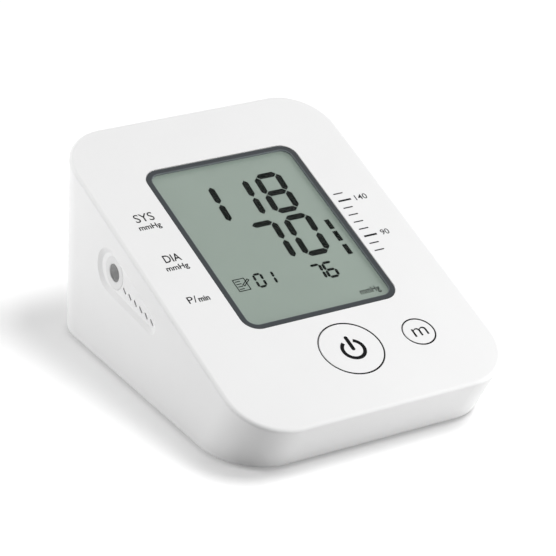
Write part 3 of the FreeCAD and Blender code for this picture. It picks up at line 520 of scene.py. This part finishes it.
scuffs = noise_layer(nodes, links, scuff_size, scuff_detail)
scuffed = nodes.new("ShaderNodeMix")
scuffed.data_type = "RGBA"
scuffed.blend_type = "MULTIPLY"
scuffed.inputs["Factor"].default_value = 1
links.new(band.outputs["Color"], scuffed.inputs["A"])
links.new(tint(nodes, links, scuffs, scuff_dark, scuff_light), scuffed.inputs["B"])
links.new(scuffed.outputs["Result"], shader.inputs["Base Color"])
uneven_gloss(nodes, links, shader, noise_layer(nodes, links, wrap_patch), wrap_gloss, wrap_swing)
shader.inputs["Metallic"].default_value = wrap_metal
finishes["cell_wrap"] = finish
print("cells", finish.name)

# %% [markdown]
# ### Window
# The window is clear plastic with a coating that hardly reflects. Plain glass would lay a veil of the white
# room over the figures, so a low IOR stands for the coating and the figures stay black. Light from the
# lamps and from other surfaces goes straight through, by a transparent shader on shadow and diffuse rays,
# so the panel behind the window is lit.

# %% Window
window_ior = 1.1

finish, nodes, links, shader = new_finish("clear_window")
shader.inputs["Base Color"].default_value = (1, 1, 1, 1)
shader.inputs["Transmission Weight"].default_value = 1
shader.inputs["IOR"].default_value = window_ior
shader.inputs["Roughness"].default_value = 0
clear = nodes.new("ShaderNodeBsdfTransparent")
path = nodes.new("ShaderNodeLightPath")
window_surface = shader.outputs["BSDF"]
for ray in ("Is Shadow Ray", "Is Diffuse Ray"):
    passes = nodes.new("ShaderNodeMixShader")
    links.new(path.outputs[ray], passes.inputs["Fac"])
    links.new(window_surface, passes.inputs[1])
    links.new(clear.outputs["BSDF"], passes.inputs[2])
    window_surface = passes.outputs["Shader"]
links.new(window_surface, nodes["Material Output"].inputs["Surface"])
finishes["lens_clear"] = finish
print("window", finish.name, "IOR", window_ior)

# %% [markdown]
# ### Liquid crystal panel
# The panel is the grey-green of a polariser over a silvered film. A lit display would need emission, but
# this kind only reflects, so it is a matt surface with a cloudy tint and a fine sparkle. It has no pixels,
# since the segments are drawn as pieces of their own.

# %% Liquid crystal panel
panel_green = srgb(147, 160, 151)
panel_cloud_size, panel_cloud = 30, 0.03
sparkle_size, panel_gloss, sparkle_swing = 0.15, 0.425, 0.075
film_grain_size, film_grain_depth = 0.12, 0.002

finish, nodes, links, shader = new_finish("liquid_crystal_green")
clouds = noise_layer(nodes, links, panel_cloud_size)
clouded(nodes, links, shader, clouds, panel_green, 1 - panel_cloud, 1 + panel_cloud)
uneven_gloss(nodes, links, shader, noise_layer(nodes, links, sparkle_size), panel_gloss, sparkle_swing)
grain(nodes, links, shader, noise_layer(nodes, links, film_grain_size), film_grain_depth)
finishes["lcd_panel"] = finish
print("panel", finish.name)

# %% [markdown]
# ### Give every CAD node its finish
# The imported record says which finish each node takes, so one short loop dresses all of them. The display
# ring's lip hangs over the panel and would draw a hard dark line along it, where the real panel only shades
# softly, so the ring is set to cast no shadow.

# %% Dress the nodes
for part in frame["record"]["subparts"]:
    node = frame["nodes"][part["node"]]
    node.data.materials.clear()
    node.data.materials.append(finishes[part["material_slot"]])
frame["nodes"]["display_bezel"].visible_shadow = False

# %% [markdown]
# ## Tools for flat artwork
# Print and liquid crystal are layers a few hundredths of a millimetre thick. They could be an image on the
# face, but thin pieces stay sharp from any distance. Each is drawn flat round the display's middle, given
# its thickness by extruding, and only then tilted onto the face. Applying that tilt leaves the piece at the
# origin with its place in its mesh, as the CAD nodes are.

# %% Selecting and thickening
ink_thickness = 0.03 * mm


def start_drawing():
    """Leaves edit mode and deselects everything, so that an operator meets only the new piece."""
    if bpy.context.object and bpy.context.object.mode != "OBJECT":
        bpy.ops.object.mode_set(mode="OBJECT")
    bpy.ops.object.select_all(action="DESELECT")


def pick(*pieces):
    """Selects these pieces alone. The first is the active one."""
    start_drawing()
    for piece in pieces:
        piece.select_set(True)
    bpy.context.view_layer.objects.active = pieces[0]


def select_where(test):
    """In edit mode, selects the vertices whose place passes the test."""
    drawing = bmesh.from_edit_mesh(bpy.context.edit_object.data)
    for vertex in drawing.verts:
        vertex.select = test(vertex.co)
    drawing.select_flush_mode()
    bmesh.update_edit_mesh(bpy.context.edit_object.data)


def thicken():
    """In edit mode, extrudes the flat drawing to the ink's thickness and leaves edit mode."""
    bpy.ops.mesh.select_all(action="SELECT")
    bpy.ops.mesh.extrude_region_move(TRANSFORM_OT_translate={"value": (0, 0, ink_thickness)})
    bpy.ops.mesh.select_all(action="SELECT")
    bpy.ops.mesh.normals_make_consistent(inside=False)
    bpy.ops.object.mode_set(mode="OBJECT")
    return bpy.context.object


print("ink is", ink_thickness / mm, "mm thick")

# %% Placing drawn pieces
ink_clearance = 0.01 * mm


def put(piece, u, v, angle=0.0):
    """Moves and turns a drawn piece on the flat sheet, in millimetres and radians."""
    pick(piece)
    piece.location = (u * mm, v * mm, 0)
    piece.rotation_euler = (0, 0, angle)
    bpy.ops.object.transform_apply()
    return piece


def copy_of(piece, u, v, angle=0.0):
    """A copy with a mesh of its own, put in its place."""
    pick(piece)
    bpy.ops.object.duplicate(linked=False)
    return put(bpy.context.object, u, v, angle)


def joined(name, pieces):
    """Several drawn pieces as one."""
    pick(*pieces)
    bpy.ops.object.join()
    pieces[0].name = name
    return pieces[0]


def lay_down(piece, level, body, finish):
    """Tilts a flat drawing onto the face, `level` metres above it, and lets it ride on a body."""
    pick(piece)
    piece.matrix_world = on_face @ Matrix.Translation((0, 0, level + ink_clearance))
    bpy.ops.object.transform_apply()
    piece.data.materials.clear()
    piece.data.materials.append(finish)
    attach(piece, body)
    print(piece.name, "with", len(piece.data.polygons), "faces on", body)


print("drawn pieces lie", ink_clearance / mm, "mm above what carries them")

# %% [markdown]
# ### Inks
# Screen print, the dark of the liquid crystal, and the dark key mat with painted shade for the gaps round
# the keys are all near black and hardly shine. One flat black could do from afar, but a film so thin is
# never quite even, so its noise drives both colour and gloss.

# %% Inks
film_size, film_detail = 1.5, 3
film_share, film_swing = 0.1, 0.05
ink_shine = 0.06


def ink(name, colour, gloss):
    """A near black with a slightly uneven film."""
    finish, nodes, links, shader = new_finish(name)
    film = noise_layer(nodes, links, film_size, film_detail)
    clouded(nodes, links, shader, film, colour, 1 - film_share, 1 + film_share)
    uneven_gloss(nodes, links, shader, film, gloss, film_swing)
    shader.inputs["Specular IOR Level"].default_value = ink_shine
    print("ink", name)
    return finish


print_black = ink("legend_print", srgb(18, 18, 20), gloss=0.55)
print_grey = ink("scale_print", srgb(62, 63, 65), gloss=0.55)
crystal_black = ink("crystal_black", srgb(8, 14, 11), gloss=0.45)
# The key mat's own black, also used as painted shade in the gaps round the keys.
mat_and_gap_shade_black = ink("key_mat_and_painted_gap_shade", srgb(14, 14, 15), gloss=0.6)

# %% [markdown]
# ## Display figures
# The display shows figures made of seven bars, the two pressures large and the pulse and memory place
# small. A font with such figures would do, but Blender brings none. A bar is a hexagon with pointed ends: a
# six-sided circle, narrowed and then pulled apart along its length, which keeps the points true. One
# upright and one level bar are drawn for each size and copied wherever a figure lights them. The figures
# lean a little to the right, so each row is sheared about its own middle.

# %% One bar
hexagon_half_angle = math.radians(30)


def segment_bar(length, thickness):
    """An upright bar with pointed ends, sizes in millimetres."""
    start_drawing()
    bpy.ops.mesh.primitive_circle_add(vertices=6, radius=1 * mm, fill_type="NGON")
    bpy.ops.object.mode_set(mode="EDIT")
    across = thickness / 2 / math.cos(hexagon_half_angle)
    bpy.ops.transform.resize(value=(across, thickness, 1))
    shift = length / 2 - thickness
    select_where(lambda place: place.y > 0)
    bpy.ops.transform.translate(value=(0, shift * mm, 0))
    select_where(lambda place: place.y < 0)
    bpy.ops.transform.translate(value=(0, -shift * mm, 0))
    return thicken()


print("a bar is a hexagon pulled long")

# %% Rows of figures
lit_bars = {"0": "abcdef", "1": "bc", "6": "acdefg", "7": "abc", "8": "abcdefg"}
upright_bars = {"b": (1, 0.5), "c": (1, -0.5), "e": (-1, -0.5), "f": (-1, 0.5)}
level_bars = {"a": (0, 1), "g": (0, 0), "d": (0, -1)}
figure_lean = math.radians(3.5)


def figure_row(name, figures, right_bars, middle, width, height, thickness, gap):
    """A row of figures. `right_bars` gives the place of each figure's right-hand bars along the row."""
    upright = segment_bar(height / 2 - gap, thickness)
    level = segment_bar(width - gap, thickness)
    bars = []
    for figure, right in zip(figures, right_bars):
        for lit in lit_bars[figure]:
            across, up = upright_bars.get(lit) or level_bars[lit]
            bar = upright if lit in upright_bars else level
            turned = 0 if lit in upright_bars else math.pi / 2
            bars.append(copy_of(bar, right - width / 2 + across * width / 2, up * height / 2, turned))
    for bar in (upright, level):
        bpy.data.objects.remove(bar)
    row = joined(name, bars)
    lean = Matrix.Identity(4)
    lean[0][1] = math.tan(figure_lean)
    row.data.transform(Matrix.Translation((0, middle * mm, 0)) @ lean)
    lay_down(row, panel_drop, "housing", crystal_black)


figure_row("upper_pressure_figures", "118", right_bars=(-8.4, 4.45, 17.3), middle=18.0,
           width=7.95, height=16.4, thickness=2.3, gap=0.45)
figure_row("lower_pressure_figures", "70", right_bars=(4.45, 17.3), middle=-2.25,
           width=8.1, height=16.6, thickness=2.3, gap=0.45)
figure_row("pulse_figures", "76", right_bars=(9.8, 14.45), middle=-18.7,
           width=3.4, height=6.3, thickness=1.0, gap=0.25)
figure_row("memory_place_figures", "01", right_bars=(-11.45, -7.45), middle=-16.6,
           width=2.65, height=5.4, thickness=0.85, gap=0.22)

# %% [markdown]
# ## Level blocks
# Three blocks at the display's right edge show how high the reading is. A filled curve could be used, but a
# plane, resized to its width and height and given the thickness of ink, is the shortest way to a sharp
# rectangle.

# %% Level blocks
def flat_plane(width, height):
    """A flat rectangle round the origin, in edit mode, sizes in millimetres."""
    start_drawing()
    bpy.ops.mesh.primitive_plane_add(size=1 * mm)
    bpy.ops.object.mode_set(mode="EDIT")
    bpy.ops.transform.resize(value=(width, height, 1))


def block(u, v, width, height):
    """A filled rectangle, middle and size in millimetres."""
    flat_plane(width, height)
    return put(thicken(), u, v)


block_place, block_width = 23.25, 1.8
block_rows = ((-0.2, 4.4), (-5.75, 4.6), (-12.05, 4.6))
level_blocks = [block(block_place, v, block_width, height) for v, height in block_rows]
lay_down(joined("level_blocks", level_blocks), panel_drop, "housing", crystal_black)

# %% [markdown]
# ## Memory sign
# Next to the memory place stands a sheet of paper with a pencil. Their outlines could be four narrow blocks
# each, but a plane whose inset border is kept and whose middle is deleted has clean corners. The written
# lines are narrow blocks.

# %% Memory sign
sign_line = 0.32


def outline(u, v, width, height, angle=0.0):
    """The border of a rectangle, drawn with the sign's line width."""
    flat_plane(width, height)
    bpy.ops.mesh.inset(thickness=sign_line * mm)
    bpy.ops.mesh.delete(type="FACE")
    return put(thicken(), u, v, angle)


written_place, written_length = -20.3, 1.8
written_rows = (-15.15, -16.25, -17.35, -18.45)
sheet_of_paper = outline(-19.6, -16.75, width=4.4, height=5.4)
written_lines = [block(written_place, v, written_length, sign_line) for v in written_rows]
pencil = outline(-17.7, -16.15, width=1.0, height=3.6, angle=math.radians(-52))
memory_sign = joined("memory_sign", [sheet_of_paper, *written_lines, pencil])
lay_down(memory_sign, panel_drop, "housing", crystal_black)

# %% [markdown]
# ## Legends
# The words on the face only name what each row shows and its unit. They could be drawn as curves, but
# Blender's own plain font does for them. A text object keeps its baseline at zero, so after it becomes a
# mesh it can be scaled to the capitals' height and the word's width and still stands on its line. Small
# words get a little weight, which thickens their strokes, because thin strokes fade in a picture.

# %% Lettering
text_half_depth = 0.5


def legend(name, words, left, baseline, cap_height, width, weight=0.0, level=0.0, body="housing",
           finish=print_black):
    """A word on the face: left end, baseline, height of its capitals and width, in millimetres.

    A text of depth 1 is scaled to the ink's thickness. `level` is its height above the face, in metres.
    """
    start_drawing()
    bpy.ops.object.text_add()
    word = bpy.context.object
    word.data.body = words
    word.data.extrude = text_half_depth
    word.data.offset = weight
    bpy.ops.object.convert(target="MESH")
    word = bpy.context.object
    places = [vertex.co for vertex in word.data.vertices]
    first = min(place.x for place in places)
    last = max(place.x for place in places)
    top = max(place.y for place in places)
    word.scale = (width * mm / (last - first), cap_height * mm / top, ink_thickness)
    word.location = (left * mm - first * word.scale.x, baseline * mm, ink_thickness / 2)
    bpy.ops.object.transform_apply()
    word.name = name
    lay_down(word, level, body, finish)


print("lettering in", print_black.name)

# %% Legends
legend("systolic_legend", "SYS", left=-40.7, baseline=16.05, cap_height=3.5, width=6.8)
legend("systolic_unit", "mmHg", left=-41.2, baseline=12.6, cap_height=2.15, width=7.9, weight=0.014)
legend("diastolic_legend", "DIA", left=-40.0, baseline=-2.7, cap_height=3.2, width=5.9, weight=0.008)
legend("diastolic_unit", "mmHg", left=-41.2, baseline=-6.2, cap_height=2.15, width=7.9, weight=0.014)
legend("pulse_legend", "P/", left=-41.1, baseline=-20.8, cap_height=2.8, width=3.2)
legend("pulse_unit", "min", left=-37.5, baseline=-20.9, cap_height=2.1, width=3.9, weight=0.024)
legend("panel_unit", "mmHg", left=17.0, baseline=-31.6, cap_height=2.4, width=7.5, weight=0.008,
       level=panel_drop, finish=crystal_black)

# %% [markdown]
# ## Scale beside the display
# Nine ticks stand beside the level blocks. An Array modifier could repeat one tick, but the two that carry
# a number are longer and bolder, so a loop draws each with its own size.

# %% Scale
tick_left, tick_top, tick_pitch, tick_count = 30.7, 10.55, 3.39, 9
numbered_ticks = (1, 6)
numbered_length, numbered_line = 4.9, 0.74
plain_length, plain_line = 3.6, 0.45

ticks = []
for index in range(tick_count):
    numbered = index in numbered_ticks
    length = numbered_length if numbered else plain_length
    line = numbered_line if numbered else plain_line
    ticks.append(block(tick_left + length / 2, tick_top - index * tick_pitch, length, line))
lay_down(joined("scale_ticks", ticks), 0.0, "housing", print_black)
legend("upper_scale_number", "140", left=37.3, baseline=6.05, cap_height=2.3, width=4.5, weight=0.003,
       finish=print_grey)
legend("lower_scale_number", "90", left=37.3, baseline=-10.75, cap_height=2.3, width=3.1, weight=0.003,
       finish=print_grey)

# %% [markdown]
# ## Signs on the keys
# The power key carries the usual standby sign, an open ring with an upright stroke, and the small key an m
# for memory. The ring starts as a circle whose edge is extruded and enlarged into a band. A Boolean could
# cut the opening, but deleting the vertices near the top keeps the mesh even. The stroke is a circle whose
# upper half is pulled up. All ride on their keys.

# %% Open ring of the standby sign
sign_middle = (0.5, -53.1)
ring_inner, ring_outer, ring_sides = 3.08, 4.32, 96
opening_left, opening_right = math.radians(-33), math.radians(25)

start_drawing()
bpy.ops.mesh.primitive_circle_add(vertices=ring_sides, radius=ring_inner * mm, fill_type="NOTHING")
bpy.ops.object.mode_set(mode="EDIT")
bpy.ops.mesh.extrude_region_move(TRANSFORM_OT_translate={"value": (0, 0, 0)})
growth = ring_outer / ring_inner
bpy.ops.transform.resize(value=(growth, growth, 1), center_override=(0, 0, 0))
select_where(lambda place: opening_left < math.atan2(place.x, place.y) < opening_right)
bpy.ops.mesh.delete(type="VERT")
open_ring = put(thicken(), *sign_middle)
print("open ring with", len(open_ring.data.polygons), "faces")

# %% Stroke of the standby sign
stroke_width, stroke_foot, stroke_head, stroke_sides = 1.3, -0.5, 5.65, 30
power_top = height_along("power_button", face_out) - face_height

start_drawing()
bpy.ops.mesh.primitive_circle_add(vertices=stroke_sides, radius=stroke_width / 2 * mm, fill_type="NGON")
bpy.ops.object.mode_set(mode="EDIT")
select_where(lambda place: place.y > 0)
bpy.ops.transform.translate(value=(0, (stroke_head - stroke_foot - stroke_width) * mm, 0))
stroke = put(thicken(), sign_middle[0], sign_middle[1] + stroke_foot + stroke_width / 2)
lay_down(joined("standby_sign", [open_ring, stroke]), power_top, "power_key", print_black)
print("power key top above the face in mm:", round(power_top / mm, 3))

# %% Letter on the small key
memory_top = height_along("memory_button", face_out) - face_height
legend("memory_letter", "m", left=23.35, baseline=-54.45, cap_height=3.4, width=5.25, weight=-0.005,
       level=memory_top, body="memory_key")

# %% [markdown]
# ## Dark lines round the keys
# Each key stands in its hole with a thin dark line round it. On the real unit this is the shadowed gap with
# the edge of the dark key mat in it. The bare gap could be left to shade itself, but it comes out too pale,
# so the dark tube here is the mat's own black and painted shade for the gap.
# A tube is made from an open cylinder with the Solidify modifier, fits between cap and hole with air left
# outside, and sinks with its key.

# %% Lines round the keys
line_width, line_top, line_depth, line_sides = 0.34, -0.03, 0.8, 128


def key_line(name, node, body, cap_radius):
    """A thin dark tube of painted gap shade and key mat round a key's cap, whose radius is in millimetres."""
    flat_middle = on_face.inverted() @ box_middle(node)
    tube_middle = (flat_middle.x, flat_middle.y, (line_top - line_depth / 2) * mm)
    start_drawing()
    bpy.ops.mesh.primitive_cylinder_add(vertices=line_sides, radius=cap_radius * mm, depth=line_depth * mm,
                                        end_fill_type="NOTHING", location=tube_middle)
    tube = bpy.context.object
    tube.name = name
    bpy.ops.object.transform_apply()
    wall = tube.modifiers.new("wall", "SOLIDIFY")
    wall.thickness = line_width * mm
    wall.offset = 1
    bpy.ops.object.modifier_apply(modifier=wall.name)
    lay_down(tube, 0.0, body, mat_and_gap_shade_black)


key_line("power_key_line", "power_button", "power_key", cap_radius=10.57)
key_line("memory_key_line", "memory_button", "memory_key", cap_radius=5.37)

# %% [markdown]
# ## Collar of the air socket
# The cuff's plug goes into a hole in the left wall. A smooth collar round the hole ends level with the
# dish, while the CAD socket behind it sits a little deeper. Its section could be spun round, but a circle
# that is extruded and enlarged ring by ring needs no drawn section, only a list of radii and heights in
# millimetres. It is merged where the section closes. The record's mount gives the hole's place.

# %% Shape of the collar
collar_section = (
    (3.0, 0.01), (3.0, 0.45), (3.07, 0.57), (3.22, 0.64), (3.5, 0.67), (5.1, 0.67),
    (5.4, 0.65), (5.55, 0.61), (5.2, 0.605), (5.2, 0.01), (3.0, 0.01),
)
collar_sides = 96
merge_distance = 0.001 * mm

start_drawing()
radius, height = collar_section[0]
bpy.ops.mesh.primitive_circle_add(vertices=collar_sides, radius=radius * mm, fill_type="NOTHING")
bpy.ops.object.mode_set(mode="EDIT")
bpy.ops.transform.translate(value=(0, 0, height * mm))
for next_radius, next_height in collar_section[1:]:
    bpy.ops.mesh.extrude_region_move(TRANSFORM_OT_translate={"value": (0, 0, (next_height - height) * mm)})
    growth = next_radius / radius
    bpy.ops.transform.resize(value=(growth, growth, 1), center_override=(0, 0, 0))
    radius, height = next_radius, next_height
bpy.ops.mesh.select_all(action="SELECT")
bpy.ops.mesh.remove_doubles(threshold=merge_distance)
bpy.ops.mesh.normals_make_consistent(inside=False)
bpy.ops.object.mode_set(mode="OBJECT")
bpy.ops.object.shade_smooth()
collar = bpy.context.object
print("collar with", len(collar.data.polygons), "faces")

# %% Place of the collar
hole = next(mount for mount in frame["record"]["mounts"] if mount["name"] == "cuff_socket")
out_of_left_wall = Matrix.Rotation(math.radians(-90), 4, "Y")

collar.name = "socket_collar"
collar.matrix_world = Matrix.Translation(hole["pos_m"]) @ out_of_left_wall
bpy.ops.object.transform_apply()
collar.data.materials.append(finishes["jack_grey"])
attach(collar, "housing")
print(collar.name, "at", hole["pos_m"])
